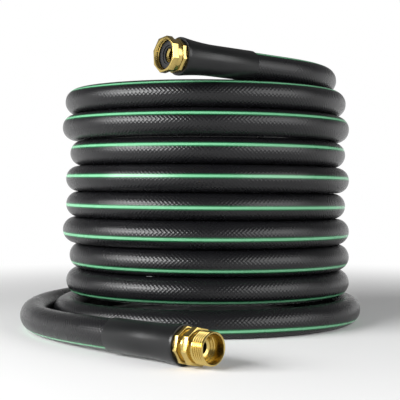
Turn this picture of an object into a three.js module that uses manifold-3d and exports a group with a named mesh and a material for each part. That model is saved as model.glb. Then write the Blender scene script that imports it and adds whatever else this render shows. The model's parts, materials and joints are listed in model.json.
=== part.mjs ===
// A coiled garden hose with a brass coupling on each end: a swivelling female
// nut on the top end and a male threaded end on the bottom one. The hose lies
// in one stack of turns, top end crossing the front of the stack and bottom
// end running out on the floor. Millimetres, +Z up, front of the stack at -Y.

import * as THREE from 'three';
import { mergeVertices } from 'three/addons/utils/BufferGeometryUtils.js';
import Module from 'manifold-3d';

const wasm = await Module();
wasm.setup();

// ---- driving dimensions ----

// Hose: a bonded tube, reinforcement and cover, 5/8 in bore
const HOSE_OD = 27;
const HOSE_BORE = 15.9;

// Stack of turns
const COIL_RADIUS = 137;
const ROWS = 9;
const ROW_GAP = 0.2;
const FRONT_DROP_SHARE = 0.1;
const STEPS_PER_TURN = 24;
const COIL_SIDES = 6;
const GAP_POINTS = 4;
const FLAT_SHARE = 0.1;

// How far each side of each row stands out from the mean radius, from the
// left of the top row down, right and left in turn
const SIDE_SWAY = [0.5, -2, 3.5, 1.5, -4.5, -2.5, 0, 1.5, 0, -2.5, 3.5, 1.5, -3.5, 1.5, 0, 1.5];
const TOP_TURN_INSET = 12;
const TOP_TURN_NEST = 1.7;
const TOP_END_ANGLE = -50.4;
const TOP_END_DRAW_IN = 14;
const TOP_END_SLOPE = 0.031;
const TOP_RISE_TURNS = 0.09;
const TOP_FREE_LENGTH = 45.9;
const BOTTOM_ROW_SPREAD = 12;
const BOTTOM_ROW_FORWARD = 10;
const TAIL_SIDE_GAP = 2;
const TAIL_SPREAD_TURNS = 0.28;

// Route of the bottom end over the floor, from the coil's last point
const TAIL_ROUTE = [[1, -55], [7, -92], [24, -139], [55, -186]];
const TAIL_ROUTE_END = [100.2, -241.5];
const TAIL_HEADING = -43.6;
const TAIL_START = 4;
const TAIL_LEAD = 28;
const TAIL_LEAD_RUN = 2;
const TAIL_SIDES = 12;
const TAIL_STEPS = 12;

// Hose thread, 3/4 in: 11.5 turns to the inch
const THREAD_OD = 26.9;
const THREAD_LENGTH = 12.6;
const THREAD_DEPTH = 1.15;
const THREAD_PLAY = 0.25;

// Female end, lengths along its axis. Both walls of the nut are measured from
// its thread, the first one at the middle of a flat.
const NUT_FLATS_WALL = 2.05;
const NUT_FLATS_LENGTH = 6.2;
const NUT_WAIST_WALL = 1.3;
const NUT_WAIST_LENGTH = 5.2;
const NUT_LIP = 1.2;
const NUT_NECK_PLAY = 0.4;
const SEAT_PLAY = 0.5;
const WASHER_BORE = 13.8;
const WASHER_THICKNESS = 3;
const FLANGE_THICKNESS = 1.4;
const WATERWAY_FLARE = 1.4;
const NECK_OD = 20;

// Octagonal collars of both couplings. Their flats stand out past the mouth of
// the sleeve behind them.
const COLLAR_STANDOUT = 0.4;
const COLLAR_LENGTH = 4.2;
const FEMALE_ROLL = 7;
const MALE_ROLL = -12.5;

// Male end
const MALE_NECK_LENGTH = 2.2;
const WRENCH_COLLAR_LENGTH = 5.6;
const WAIST_OD = 25.4;
const WAIST_LENGTH = 5.2;
const MOUTH_WALL = 1.7;
const RECESS_DEPTH = 10.6;
const RECESS_LEDGE = 2.3;
const RECESS_STEP_DEPTH = 1.1;

// Barbed stems, ferrules and sleeves
const STEM_WALL = 1.2;
const STEM_LEAD = 2;
const STEM_LENGTH = 22;
const BARBS = 5;
const BARB_HEIGHT = 0.7;
const CRIMP_DEPTH = 0.8;
const FERRULE_WALL = 1.1;
const FERRULE_LENGTH = 20;
const FERRULE_LIP = 1;
const SLEEVE_WALL = 0.8;
const FEMALE_SLEEVE_FLARE = 2.4;
const MALE_SLEEVE_FLARE = 1.6;
const SLEEVE_LENGTH = 84.5;
const SLEEVE_RIM_LENGTH = 2.5;
const SLEEVE_SHOULDER_LENGTH = 36;
const SHOULDER_CURVE = 1.9;
const SHOULDER_STEPS = 7;
const SLEEVE_STEP_LENGTH = 2;

// Fits and facets
const CLEARANCE = 0.3;
const CHAMFER = 0.8;
const EDGE_BREAK = 0.5;
const OCTAGON_BEVEL = 0.35;
const ROUND_SIDES = 32;
const INNER_SIDES = 24;
const CUT_OVERRUN = 1;

// ---- worked-out sizes ----

const hoseRadius = HOSE_OD / 2;
const boreRadius = HOSE_BORE / 2;
const rowPitch = HOSE_OD + ROW_GAP;
const flatDepth = FLAT_SHARE * HOSE_OD;
const bottomRowHeight = hoseRadius - flatDepth;
const coilStart = TOP_END_ANGLE / 360;
const coilEnd = ROWS + 0.5;

const ferruleInner = hoseRadius - CRIMP_DEPTH + CLEARANCE;
const ferruleOuter = ferruleInner + FERRULE_WALL;
const sleeveMouthRadius = ferruleOuter + CLEARANCE;
const sleeveHoseRadius = hoseRadius + CLEARANCE;
const femaleRimRadius = sleeveMouthRadius + SLEEVE_WALL + FEMALE_SLEEVE_FLARE;
const maleRimRadius = sleeveMouthRadius + SLEEVE_WALL + MALE_SLEEVE_FLARE;

const threadRadius = THREAD_OD / 2;
const nutBore = threadRadius + THREAD_PLAY;
const nutWaist = nutBore + NUT_WAIST_WALL;
const nutFlats = 2 * (nutBore + NUT_FLATS_WALL);
const seatRadius = nutBore - SEAT_PLAY;
const neckRadius = NECK_OD / 2;
const recessRadius = threadRadius - MOUTH_WALL;
const stepRadius = recessRadius - RECESS_LEDGE;
const barbCrest = boreRadius * Math.cos(Math.PI / TAIL_SIDES) - CLEARANCE;
const stemRadius = barbCrest - BARB_HEIGHT;
const stemBore = stemRadius - STEM_WALL;
const collarFlats = 2 * (sleeveMouthRadius + COLLAR_STANDOUT);
const octagonCorner = (flats) => flats / 2 / Math.cos(Math.PI / 8);
const maleHeight = Math.max(maleRimRadius, threadRadius, octagonCorner(collarFlats));

const washerFront = NUT_FLATS_LENGTH + NUT_WAIST_LENGTH - NUT_LIP - FLANGE_THICKNESS
    - WASHER_THICKNESS - 2 * CLEARANCE;
const flangeFront = washerFront + WASHER_THICKNESS + CLEARANCE;
const flangeBack = flangeFront + FLANGE_THICKNESS;
const nutBack = NUT_FLATS_LENGTH + NUT_WAIST_LENGTH;
const femaleCollarFront = nutBack + NUT_NECK_PLAY;
const femaleCollarBack = femaleCollarFront + COLLAR_LENGTH;
const wrenchCollarFront = THREAD_LENGTH + MALE_NECK_LENGTH;
const wrenchCollarBack = wrenchCollarFront + WRENCH_COLLAR_LENGTH;
const maleCollarFront = wrenchCollarBack + WAIST_LENGTH;
const maleCollarBack = maleCollarFront + COLLAR_LENGTH;

// ---- small tools ----

const smooth = (t) => {
  const c = Math.min(Math.max(t, 0), 1);
  return c * c * (3 - 2 * c);
};

const paint = (color, roughness, metalness) => (
  new THREE.MeshStandardMaterial({ color, roughness, metalness })
);

const hosePaint = () => paint('#2b2c2f', 0.5, 0);
const sleevePaint = () => paint('#2f3033', 0.42, 0);
const brassPaint = () => paint('#c2a052', 0.28, 1);
const washerPaint = () => paint('#3c3d42', 0.7, 0);

// A closed profile of [radius, station] turned about the local Z axis. A
// station is the distance behind the coupling's mouth, so Z is its negative.
function revolve(profile, sides = ROUND_SIDES) {
  const points = profile.map(([radius, station]) => new THREE.Vector2(radius, -station));
  if (THREE.ShapeUtils.area(points) < 0) points.reverse();
  points.push(points[0].clone());
  return new THREE.LatheGeometry(points, sides).rotateX(Math.PI / 2);
}

// A prism with eight flats and bevelled faces between two stations
function octagon(flats, front, back, roll) {
  const corner = octagonCorner(flats);
  const outline = Array.from({ length: 8 }, (_, i) => {
    const angle = (i + 0.5) * Math.PI / 4 + THREE.MathUtils.degToRad(roll);
    return new THREE.Vector2(corner * Math.cos(angle), corner * Math.sin(angle));
  });
  return solid(new THREE.ExtrudeGeometry(new THREE.Shape(outline), {
    depth: back - front - 2 * OCTAGON_BEVEL,
    bevelThickness: OCTAGON_BEVEL,
    bevelSize: OCTAGON_BEVEL,
    bevelOffset: -OCTAGON_BEVEL,
    bevelSegments: 1,
  }).translate(0, 0, OCTAGON_BEVEL - back));
}

function solid(geometry) {
  const bare = geometry.clone();
  bare.deleteAttribute('normal');
  bare.deleteAttribute('uv');
  const merged = mergeVertices(bare);
  return new wasm.Manifold(new wasm.Mesh({
    numProp: 3,
    vertProperties: merged.attributes.position.array,
    triVerts: new Uint32Array(merged.index.array),
  }));
}

function fromSolid(body) {
  const mesh = body.getMesh();
  const geometry = new THREE.BufferGeometry();
  geometry.setAttribute('position', new THREE.BufferAttribute(mesh.vertProperties, 3));
  geometry.setIndex(new THREE.BufferAttribute(mesh.triVerts, 1));
  return geometry;
}

function named(name, geometry, material) {
  const mesh = new THREE.Mesh(geometry, material);
  mesh.name = name;
  return mesh;
}

// ---- route of the coil ----

// Each turn drops a row: nearly level across the front, most of the way
// behind. The last turn lies on the floor.
function rowsDown(turn) {
  const whole = Math.floor(turn);
  const part = turn - whole;
  if (turn >= ROWS - 0.5) return ROWS;
  if (turn >= ROWS - 1) return ROWS - 1 + smooth(2 * part);
  if (part < 0.5) return whole + (1 - FRONT_DROP_SHARE) * smooth(2 * part);
  return whole + 1 - FRONT_DROP_SHARE * 2 * (1 - part);
}

function sideOffset(halfTurn) {
  if (halfTurn < 0) return -TOP_TURN_INSET - TOP_END_DRAW_IN;
  if (halfTurn === 0) return -TOP_TURN_INSET;
  if (halfTurn < 2 * ROWS - 1) return SIDE_SWAY[(halfTurn - 1) % SIDE_SWAY.length];
  if (halfTurn <= 2 * ROWS) return BOTTOM_ROW_SPREAD;
  return BOTTOM_ROW_SPREAD + HOSE_OD + TAIL_SIDE_GAP;
}

function coilPoint(turn) {
  const angle = turn * 2 * Math.PI;
  const before = Math.floor(2 * turn);
  const across = turn > ROWS ? (turn - ROWS) / TAIL_SPREAD_TURNS : 2 * turn - before;
  const offset = THREE.MathUtils.lerp(
    sideOffset(before), sideOffset(before + 1), smooth(across),
  );
  const radius = COIL_RADIUS + offset;
  const forward = BOTTOM_ROW_FORWARD * smooth(2 * (turn - ROWS + 1));
  const nest = TOP_TURN_NEST * (1 - Math.min(Math.max(2 * turn, 0), 1)) ** 2;
  const rise = Math.max(coilStart + TOP_RISE_TURNS - turn, 0) / TOP_RISE_TURNS;
  const riseHeight = TOP_END_SLOPE * TOP_RISE_TURNS * Math.PI * radius;
  const unloaded = flatDepth * smooth(4 * (turn - ROWS) - 1);
  return new THREE.Vector3(
    radius * Math.cos(angle),
    radius * Math.sin(angle) - forward,
    bottomRowHeight + rowPitch * (ROWS - rowsDown(turn)) - nest + riseHeight * rise ** 2 + unloaded,
  );
}

function coilHeading(turn) {
  const step = 1e-4;
  return coilPoint(turn + step).sub(coilPoint(turn - step)).normalize();
}

const topTangent = coilHeading(coilStart);
const topCorner = coilPoint(coilStart);
const tailTangent = coilHeading(coilEnd).setZ(0).normalize();
const tailCorner = coilPoint(coilEnd);

// Ends of the coil: a straight stretch one hose diameter long
const coilTopFace = topCorner.clone().addScaledVector(topTangent, -HOSE_OD);
const coilTailFace = tailCorner.clone().addScaledVector(tailTangent, HOSE_OD);

function coilRoute() {
  const count = Math.round((coilEnd - coilStart) * STEPS_PER_TURN);
  const turns = Array.from({ length: count + 1 }, (_, i) => (
    coilStart + (coilEnd - coilStart) * i / count
  ));
  return [coilTopFace, ...turns.map(coilPoint), coilTailFace];
}

// A tube with a bore, as rings of points round a route
function woundTube(route, outer, inner, sides) {
  const positions = [];
  const up = new THREE.Vector3(0, 0, 1);
  route.forEach((centre, i) => {
    const before = route[Math.max(i - 1, 0)];
    const after = route[Math.min(i + 1, route.length - 1)];
    const along = after.clone().sub(before).normalize();
    const out = along.clone().cross(up).normalize();
    const rise = out.clone().cross(along);
    for (const radius of [outer, inner]) {
      for (let k = 0; k < sides; k += 1) {
        const angle = 2 * Math.PI * k / sides;
        const point = centre.clone()
          .addScaledVector(out, radius * Math.cos(angle))
          .addScaledVector(rise, radius * Math.sin(angle));
        positions.push(point.x, point.y, point.z);
      }
    }
  });
  const index = [];
  const quad = (a, b, c, d) => index.push(a, b, c, a, c, d);
  const ring = 2 * sides;
  const last = (route.length - 1) * ring;
  for (let k = 0; k < sides; k += 1) {
    const next = (k + 1) % sides;
    for (let start = 0; start < last; start += ring) {
      quad(start + k, start + ring + k, start + ring + next, start + next);
      quad(start + sides + k, start + sides + next, start + ring + sides + next,
        start + ring + sides + k);
    }
    quad(k, next, sides + next, sides + k);
    quad(last + k, last + sides + k, last + sides + next, last + next);
  }
  const geometry = new THREE.BufferGeometry();
  geometry.setAttribute('position', new THREE.Float32BufferAttribute(positions, 3));
  geometry.setIndex(index);
  return geometry;
}

// Least gap of the wound tube to itself: how far points spread over its faces
// lie outside the flat-sided section of each stretch over half a turn away
function leastGap(geometry, route) {
  const up = new THREE.Vector3(0, 0, 1);
  const half = Math.PI / COIL_SIDES;
  const flat = hoseRadius * Math.cos(half);
  const corner = (i, k) => new THREE.Vector3()
    .fromBufferAttribute(geometry.attributes.position, 2 * COIL_SIDES * i + k % COIL_SIDES);
  const stretches = route.slice(1).map((end, i) => {
    const along = end.clone().sub(route[i]);
    const length = along.length();
    const out = along.normalize().clone().cross(up).normalize();
    return { i, start: route[i], along, length, out, rise: out.clone().cross(along) };
  });
  const shares = Array.from({ length: GAP_POINTS }, (_, i) => i / GAP_POINTS);
  const points = stretches.flatMap(({ i }) => shares.flatMap((u) => shares.flatMap((v) => (
    Array.from({ length: COIL_SIDES }, (_, k) => ({
      i, at: corner(i, k).lerp(corner(i, k + 1), u).lerp(corner(i + 1, k).lerp(corner(i + 1, k + 1), u), v),
    }))
  ))));
  let least = Infinity;
  const offset = new THREE.Vector3();
  for (const point of points) {
    for (const stretch of stretches) {
      if (Math.abs(point.i - stretch.i) <= STEPS_PER_TURN / 2) continue;
      const ahead = offset.subVectors(point.at, stretch.start).dot(stretch.along);
      if (ahead < 0 || ahead > stretch.length) continue;
      const sideways = offset.dot(stretch.out);
      const upwards = offset.dot(stretch.rise);
      const turn = THREE.MathUtils.euclideanModulo(Math.atan2(upwards, sideways), 2 * half) - half;
      least = Math.min(least, Math.hypot(sideways, upwards) - flat / Math.cos(turn));
    }
  }
  return least;
}

// ---- hose ----

function hoseCoil() {
  const route = coilRoute();
  const tube = woundTube(route, hoseRadius, boreRadius, COIL_SIDES);
  console.log(`coil: least gap to itself ${leastGap(tube, route).toFixed(2)} mm`);
  const reach = 4 * COIL_RADIUS;
  const floor = new THREE.BoxGeometry(reach, reach, HOSE_OD).translate(0, 0, -HOSE_OD / 2);
  return named('hose_coil', fromSolid(solid(tube).subtract(solid(floor))), hosePaint());
}

const circle = (Kind, radius, sides) => {
  const points = Array.from({ length: sides }, (_, i) => {
    const angle = 2 * Math.PI * (i + 0.5) / sides;
    return new THREE.Vector2(radius * Math.cos(angle), radius * Math.sin(angle));
  });
  return new Kind(points);
};

// The hose from a coil face to its crimped end in a coupling's ferrule
function hoseEnd(name, route, steps, coupling) {
  const section = circle(THREE.Shape, hoseRadius, TAIL_SIDES);
  section.holes.push(circle(THREE.Path, boreRadius, TAIL_SIDES));
  const tube = new THREE.ExtrudeGeometry(section, { extrudePath: route, steps });
  const crimped = hoseRadius - CRIMP_DEPTH;
  const clear = hoseRadius + CUT_OVERRUN;
  const ahead = coupling.hoseStop - CUT_OVERRUN;
  const behind = coupling.ferruleBack + CLEARANCE;
  const crimp = revolve([
    [crimped, ahead], [clear, ahead], [clear, behind], [crimped, behind],
  ], INNER_SIDES).applyMatrix4(coupling.matrix);
  return named(name, fromSolid(solid(tube).subtract(solid(crimp))), hosePaint());
}

// ---- couplings ----

// Where a coupling sits: its mouth's centre and the way it faces
function couplingAt(mouth, facing, collarBack, rimRadius) {
  const across = new THREE.Vector3(0, 0, 1).cross(facing).normalize();
  const matrix = new THREE.Matrix4()
    .makeBasis(across, facing.clone().cross(across), facing)
    .setPosition(mouth);
  const ferruleFront = collarBack + CLEARANCE;
  const hoseStop = ferruleFront + FERRULE_LIP + CLEARANCE;
  return {
    matrix,
    collarBack,
    rimRadius,
    ferruleFront,
    hoseStop,
    ferruleBack: ferruleFront + FERRULE_LENGTH,
    sleeveFront: ferruleFront + CLEARANCE,
  };
}

function place(coupling, meshes) {
  const group = new THREE.Group();
  coupling.matrix.decompose(group.position, group.quaternion, group.scale);
  group.add(...meshes);
  return group;
}

// Outline of the barbed stem behind a collar, from the collar backwards
function stemOutline(coupling) {
  const barbsFrom = coupling.hoseStop + STEM_LEAD;
  const pitch = STEM_LENGTH / BARBS;
  const outline = [[stemRadius, coupling.collarBack], [stemRadius, barbsFrom]];
  for (let i = 0; i < BARBS; i += 1) {
    const front = barbsFrom + i * pitch;
    outline.push([barbCrest, front + EDGE_BREAK], [stemRadius, front + pitch]);
  }
  const tip = barbsFrom + STEM_LENGTH + EDGE_BREAK;
  outline.push([stemRadius - EDGE_BREAK, tip], [stemBore, tip]);
  return outline;
}

// A plug that clears a coupling's bore through pieces added between stations
const borePlug = (front, back) => solid(revolve([
  [0, front - CUT_OVERRUN], [stemBore, front - CUT_OVERRUN],
  [stemBore, back + CUT_OVERRUN], [0, back + CUT_OVERRUN],
]));

function swivelNut() {
  const lipRadius = neckRadius + NUT_NECK_PLAY;
  const cavityBack = nutBack - NUT_LIP;
  const leadIn = nutBore + CHAMFER;
  const flats = octagon(nutFlats, 0, NUT_FLATS_LENGTH, FEMALE_ROLL);
  const waist = revolve([
    [0, CUT_OVERRUN], [nutWaist, CUT_OVERRUN], [nutWaist, nutBack - CHAMFER],
    [nutWaist - CHAMFER, nutBack], [0, nutBack],
  ]);
  const cavity = revolve([
    [0, -CUT_OVERRUN], [leadIn, -CUT_OVERRUN], [leadIn, 0], [nutBore, CHAMFER],
    [nutBore, cavityBack], [lipRadius, cavityBack], [lipRadius, nutBack + CUT_OVERRUN],
    [0, nutBack + CUT_OVERRUN],
  ]);
  const nut = flats.add(solid(waist)).subtract(solid(cavity));
  return named('swivel_nut', fromSolid(nut), brassPaint());
}

function hoseWasher() {
  const inner = WASHER_BORE / 2;
  const back = washerFront + WASHER_THICKNESS;
  return named('hose_washer', revolve([
    [inner, washerFront + EDGE_BREAK], [inner + EDGE_BREAK, washerFront],
    [seatRadius - EDGE_BREAK, washerFront], [seatRadius, washerFront + EDGE_BREAK],
    [seatRadius, back], [inner, back],
  ]), washerPaint());
}

function femaleTailpiece(coupling) {
  const body = revolve([
    [stemBore, flangeFront + WATERWAY_FLARE], [stemBore + WATERWAY_FLARE, flangeFront],
    [seatRadius - EDGE_BREAK, flangeFront],
    [seatRadius, flangeFront + EDGE_BREAK], [seatRadius, flangeBack], [neckRadius, flangeBack],
    [neckRadius, femaleCollarBack], ...stemOutline(coupling),
  ]);
  const collar = octagon(collarFlats, femaleCollarFront, femaleCollarBack, FEMALE_ROLL)
    .subtract(borePlug(femaleCollarFront, femaleCollarBack));
  return named('female_tailpiece', fromSolid(solid(body).add(collar)), brassPaint());
}

function maleCoupling(coupling) {
  const neck = threadRadius - THREAD_DEPTH;
  const waist = WAIST_OD / 2;
  const ledge = RECESS_DEPTH + RECESS_STEP_DEPTH;
  const body = revolve([
    [recessRadius + EDGE_BREAK, 0], [threadRadius - EDGE_BREAK, 0], [threadRadius, EDGE_BREAK],
    [threadRadius, THREAD_LENGTH - EDGE_BREAK], [neck, THREAD_LENGTH + EDGE_BREAK],
    [neck, wrenchCollarFront + CUT_OVERRUN], [waist, wrenchCollarFront + CUT_OVERRUN],
    [waist, maleCollarBack], ...stemOutline(coupling),
    [stemBore, ledge + RECESS_STEP_DEPTH], [(stepRadius + stemBore) / 2, ledge],
    [stepRadius, ledge - EDGE_BREAK], [stepRadius, RECESS_DEPTH],
    [recessRadius, RECESS_DEPTH - EDGE_BREAK], [recessRadius, EDGE_BREAK],
  ]);
  const wrench = octagon(collarFlats, wrenchCollarFront, wrenchCollarBack, MALE_ROLL);
  const collar = octagon(collarFlats, maleCollarFront, maleCollarBack, MALE_ROLL);
  const collars = wrench.add(collar).subtract(borePlug(wrenchCollarFront, maleCollarBack));
  return named('male_coupling', fromSolid(solid(body).add(collars)), brassPaint());
}

function ferrule(name, coupling) {
  const collarHole = stemRadius + CLEARANCE;
  const { ferruleFront, ferruleBack } = coupling;
  return named(name, revolve([
    [collarHole, ferruleFront], [ferruleOuter - EDGE_BREAK, ferruleFront],
    [ferruleOuter, ferruleFront + EDGE_BREAK], [ferruleOuter, ferruleBack - EDGE_BREAK],
    [ferruleOuter - EDGE_BREAK, ferruleBack], [ferruleInner, ferruleBack],
    [ferruleInner, ferruleFront + FERRULE_LIP], [collarHole, ferruleFront + FERRULE_LIP],
  ], INNER_SIDES), brassPaint());
}

// The bend-restricting sleeve: thin over the hose, swelling in a hollow curve
// to a rounded rim against the collar
function sleeve(name, coupling) {
  const front = coupling.sleeveFront;
  const back = front + SLEEVE_LENGTH;
  const thin = sleeveHoseRadius + SLEEVE_WALL;
  const { rimRadius } = coupling;
  const swell = rimRadius - thin;
  const shoulderFront = front + SLEEVE_RIM_LENGTH;
  const shoulder = Array.from({ length: SHOULDER_STEPS }, (_, i) => {
    const share = (i + 1) / SHOULDER_STEPS;
    return [
      thin + swell * (1 - share) ** SHOULDER_CURVE,
      shoulderFront + share * SLEEVE_SHOULDER_LENGTH,
    ];
  });
  const stepBack = coupling.ferruleBack + CLEARANCE;
  return named(name, revolve([
    [sleeveMouthRadius, front], [rimRadius - CHAMFER, front],
    [rimRadius, front + CHAMFER], [rimRadius, shoulderFront],
    ...shoulder, [thin, back - EDGE_BREAK], [thin - EDGE_BREAK, back], [sleeveHoseRadius, back],
    [sleeveHoseRadius, stepBack + SLEEVE_STEP_LENGTH], [sleeveMouthRadius, stepBack],
  ]), sleevePaint());
}

// ---- top end ----

const topSleeveBack = topCorner.clone().addScaledVector(topTangent, -TOP_FREE_LENGTH);
const femaleFacing = topTangent.clone().negate();
const femaleReach = femaleCollarBack + 2 * CLEARANCE + SLEEVE_LENGTH;
const femaleMouth = topSleeveBack.clone().addScaledVector(femaleFacing, femaleReach);
const female = couplingAt(femaleMouth, femaleFacing, femaleCollarBack, femaleRimRadius);

function topHose() {
  const from = coilTopFace.clone().addScaledVector(femaleFacing, CLEARANCE);
  const to = femaleMouth.clone().addScaledVector(femaleFacing, -female.hoseStop);
  return hoseEnd('hose_top_end', new THREE.LineCurve3(from, to), 2, female);
}

// ---- bottom end ----

const tailHeight = hoseRadius;
const tailAngle = THREE.MathUtils.degToRad(TAIL_HEADING);
const maleFacing = new THREE.Vector3(Math.cos(tailAngle), Math.sin(tailAngle), 0);
const tailSleeveBack = new THREE.Vector3(
  tailCorner.x + TAIL_ROUTE_END[0], tailCorner.y + TAIL_ROUTE_END[1], maleHeight,
);
const maleReach = maleCollarBack + 2 * CLEARANCE + SLEEVE_LENGTH;
const maleMouth = tailSleeveBack.clone().addScaledVector(maleFacing, maleReach);
const male = couplingAt(maleMouth, maleFacing, maleCollarBack, maleRimRadius);

function bottomHose() {
  const from = coilTailFace.clone().addScaledVector(tailTangent, CLEARANCE);
  const rise = (maleHeight - tailHeight) / (TAIL_ROUTE.length + 1);
  const middle = TAIL_ROUTE.map(([x, y], i) => new THREE.Vector3(
    tailCorner.x + x, tailCorner.y + y, tailHeight + rise * Math.max(i - 1, 0),
  ));
  const lead = tailSleeveBack.clone().addScaledVector(maleFacing, -TAIL_LEAD);
  const bend = new THREE.CatmullRomCurve3([
    from, from.clone().addScaledVector(tailTangent, TAIL_START), ...middle,
    lead.clone().addScaledVector(maleFacing, -TAIL_LEAD_RUN), lead,
  ], false, 'centripetal');
  const route = new THREE.CurvePath();
  const end = maleMouth.clone().addScaledVector(maleFacing, -male.hoseStop);
  route.add(bend);
  route.add(new THREE.LineCurve3(lead, end));
  return hoseEnd('hose_bottom_end', route, TAIL_STEPS, male);
}

// ---- assembly, standing on the middle of its box ----

const hose = new THREE.Group();
hose.add(
  topHose(),
  hoseCoil(),
  bottomHose(),
  place(female, [
    swivelNut(),
    hoseWasher(),
    femaleTailpiece(female),
    ferrule('female_ferrule', female),
    sleeve('female_sleeve', female),
  ]),
  place(male, [
    maleCoupling(male),
    ferrule('male_ferrule', male),
    sleeve('male_sleeve', male),
  ]),
);
hose.updateMatrixWorld(true);
const box = new THREE.Box3().setFromObject(hose, true);
const middle = box.getCenter(new THREE.Vector3());
hose.position.set(-middle.x, -middle.y, -box.min.z);

export default hose;
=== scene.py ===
"""A coiled garden hose with a brass coupling on each end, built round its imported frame.

The hose is one tube, from the female coupling on top of the stack, through nine turns and out over
the floor to the male coupling. Both couplings are turned from their profiles. Sizes are in
millimetres until a mesh is made, and metres from there on, as in the frame.
"""

import json
import math

import bpy
from bpy.props import FloatProperty, FloatVectorProperty, IntProperty, PointerProperty
from mathutils import Matrix, Vector

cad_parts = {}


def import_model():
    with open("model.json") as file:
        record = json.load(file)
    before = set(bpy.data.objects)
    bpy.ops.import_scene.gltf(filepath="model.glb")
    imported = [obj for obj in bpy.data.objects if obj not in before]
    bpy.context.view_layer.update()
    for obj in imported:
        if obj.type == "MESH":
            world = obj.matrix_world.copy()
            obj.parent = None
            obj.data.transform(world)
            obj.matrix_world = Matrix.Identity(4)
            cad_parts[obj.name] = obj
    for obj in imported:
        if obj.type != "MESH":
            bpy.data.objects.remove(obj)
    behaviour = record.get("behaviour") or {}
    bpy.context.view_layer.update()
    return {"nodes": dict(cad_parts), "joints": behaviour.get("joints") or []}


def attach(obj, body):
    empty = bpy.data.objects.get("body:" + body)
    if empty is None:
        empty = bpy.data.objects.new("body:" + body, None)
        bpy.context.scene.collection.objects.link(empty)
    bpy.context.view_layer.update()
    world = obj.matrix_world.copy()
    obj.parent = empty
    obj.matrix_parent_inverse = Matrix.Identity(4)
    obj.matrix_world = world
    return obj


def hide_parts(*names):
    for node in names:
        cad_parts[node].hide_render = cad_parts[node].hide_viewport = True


bl_info = {
    "name": "Coiled garden hose",
    "version": (1, 0, 0),
    "blender": (4, 5, 0),
    "location": "View3D > Sidebar > Hose",
    "description": "Builds a coiled garden hose with its brass couplings",
    "category": "Object",
}

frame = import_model()

MM = 0.001


# ---- the hose's lie, in millimetres round the stack's axis ----

# The hose, and how far it stays clear of the floor
HOSE_OD = 26.9
HOSE_BORE = 15.9
FLOOR_CLEARANCE = 0.2

# The stack. Each turn drops by most of a row at the back and by a small share at the front.
COIL_RADIUS = 137
ROWS = 9
TOP_LEVEL = 255.6
BOTTOM_ROW_HEIGHT = 13.2
FRONT_DROP_SHARE = 0.1

# How far each side of each row stands out from the mean radius, from the left of the top row down,
# right and left in turn
SIDE_SWAY = [0.5, -2, 3.5, 1.5, -4.5, -2.5, 0, 1.5, 0, -2.5, 3.5, 1.5, -3.5, 1.5, 0, 1.5]
TOP_TURN_INSET = 12
TOP_TURN_NEST = 1.7
BOTTOM_ROW_SPREAD = 12
BOTTOM_ROW_FORWARD = 10

# Where the coil starts and ends, in turns from the right side, and the top end's way into it
COIL_START = -50.4 / 360
COIL_END = ROWS + 0.5
TOP_END_DRAW_IN = 14
TOP_END_SLOPE = 0.031
TOP_RISE_TURNS = 0.09
TOP_FREE_LENGTH = 45.9

# The bottom end's way over the floor, from the coil's last point to the back of the sleeve
TAIL_SIDE_GAP = 2
TAIL_SPREAD_TURNS = 0.28
TAIL_ROUTE = [(1, -55), (7, -92), (24, -139), (55, -186)]
TAIL_ROUTE_END = (100.2, -241.5)
TAIL_HEADING = math.radians(-43.6)
TAIL_START = 27
TAIL_LEAD = 28
TAIL_HEIGHT = 13.5

# Rings of the hose off the coil, and those at both ends of the tail that are eased with it
RING_SPACING = 7
EASED_RINGS = 12
EASED_SLEEVE_RINGS = 3
EASING_ROUNDS = 24

# ---- the couplings, in millimetres ----
#
# A plain name is a radius, FLATS is a width over flats, and what is named for a face or an end, such
# as FRONT, BACK or DEPTH, lies that far behind the coupling's mouth. A pair is a collar's front and
# back.

NUT_BORE = 13.7
NUT_FLATS = 31.5
NUT_FLATS_LENGTH = 6.2
NUT_WAIST = 15.0
NUT_WAIST_ROUND = 0.6
NUT_BACK = 11.4
NUT_LIP = 1.2
NUT_MOUTH_FLARE = 0.3
NUT_MOUTH_DEPTH = 0.9
NUT_THREAD_FRONT = 1.0
NUT_THREAD_GAP = 0.5
NUT_THREAD_RELIEF = 0.3
NUT_THREAD_FADE = 0.8
NECK = 10.0
NECK_PLAY = 0.4
SEAT = 13.2
WASHER_FRONT = 5.2
WASHER_BACK = 8.2
WASHER_BORE = 6.9
WASHER_STEP = 8.6
WASHER_STEP_DROP = 1.3
FLANGE_FRONT = 8.5
FLANGE_BACK = 9.9
WATERWAY_FLARE = 1.4
FEMALE_COLLAR = (11.8, 16.0)
FEMALE_ROLL = math.radians(7)
FEMALE_SLEEVE_RIM = 17.6

COLLAR_FLATS = 29.6
STEM_BORE = 5.5
STEM = 6.7
STEM_LENGTH = 24.5
EDGE_ROUND = 0.3
BODY_ROUND = 0.2

# The 3/4 in hose thread, 11.5 turns to the inch, with the flats on its crests and in its roots
THREAD = 13.45
THREAD_LENGTH = 12.6
THREAD_PITCH = 25.4 / 11.5
THREAD_DEPTH = 1.25
THREAD_PLAY = 0.25
THREAD_FLAT_SHARE = 0.18
THREAD_FLANK_SHARE = 1 - 2 * THREAD_FLAT_SHARE
THREAD_CHAMFER = 0.6
THREAD_STOP = 0.4
THREAD_FADE = 1.0
THREAD_MARGIN = 0.05
STATIONS_PER_PITCH = 12
WRENCH_COLLAR = (14.8, 20.4)
WAIST = 12.7
MALE_COLLAR = (25.6, 29.8)
MALE_ROLL = math.radians(-12.5)
MALE_SLEEVE_RIM = 16.8
RECESS = 11.75
RECESS_DEPTH = 10.6
RECESS_CHAMFER = 0.5
STEP = 9.45
STEP_DEPTH = 11.7
STEP_CHAMFER = 0.4
FUNNEL_DEPTH = 12.8

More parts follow.
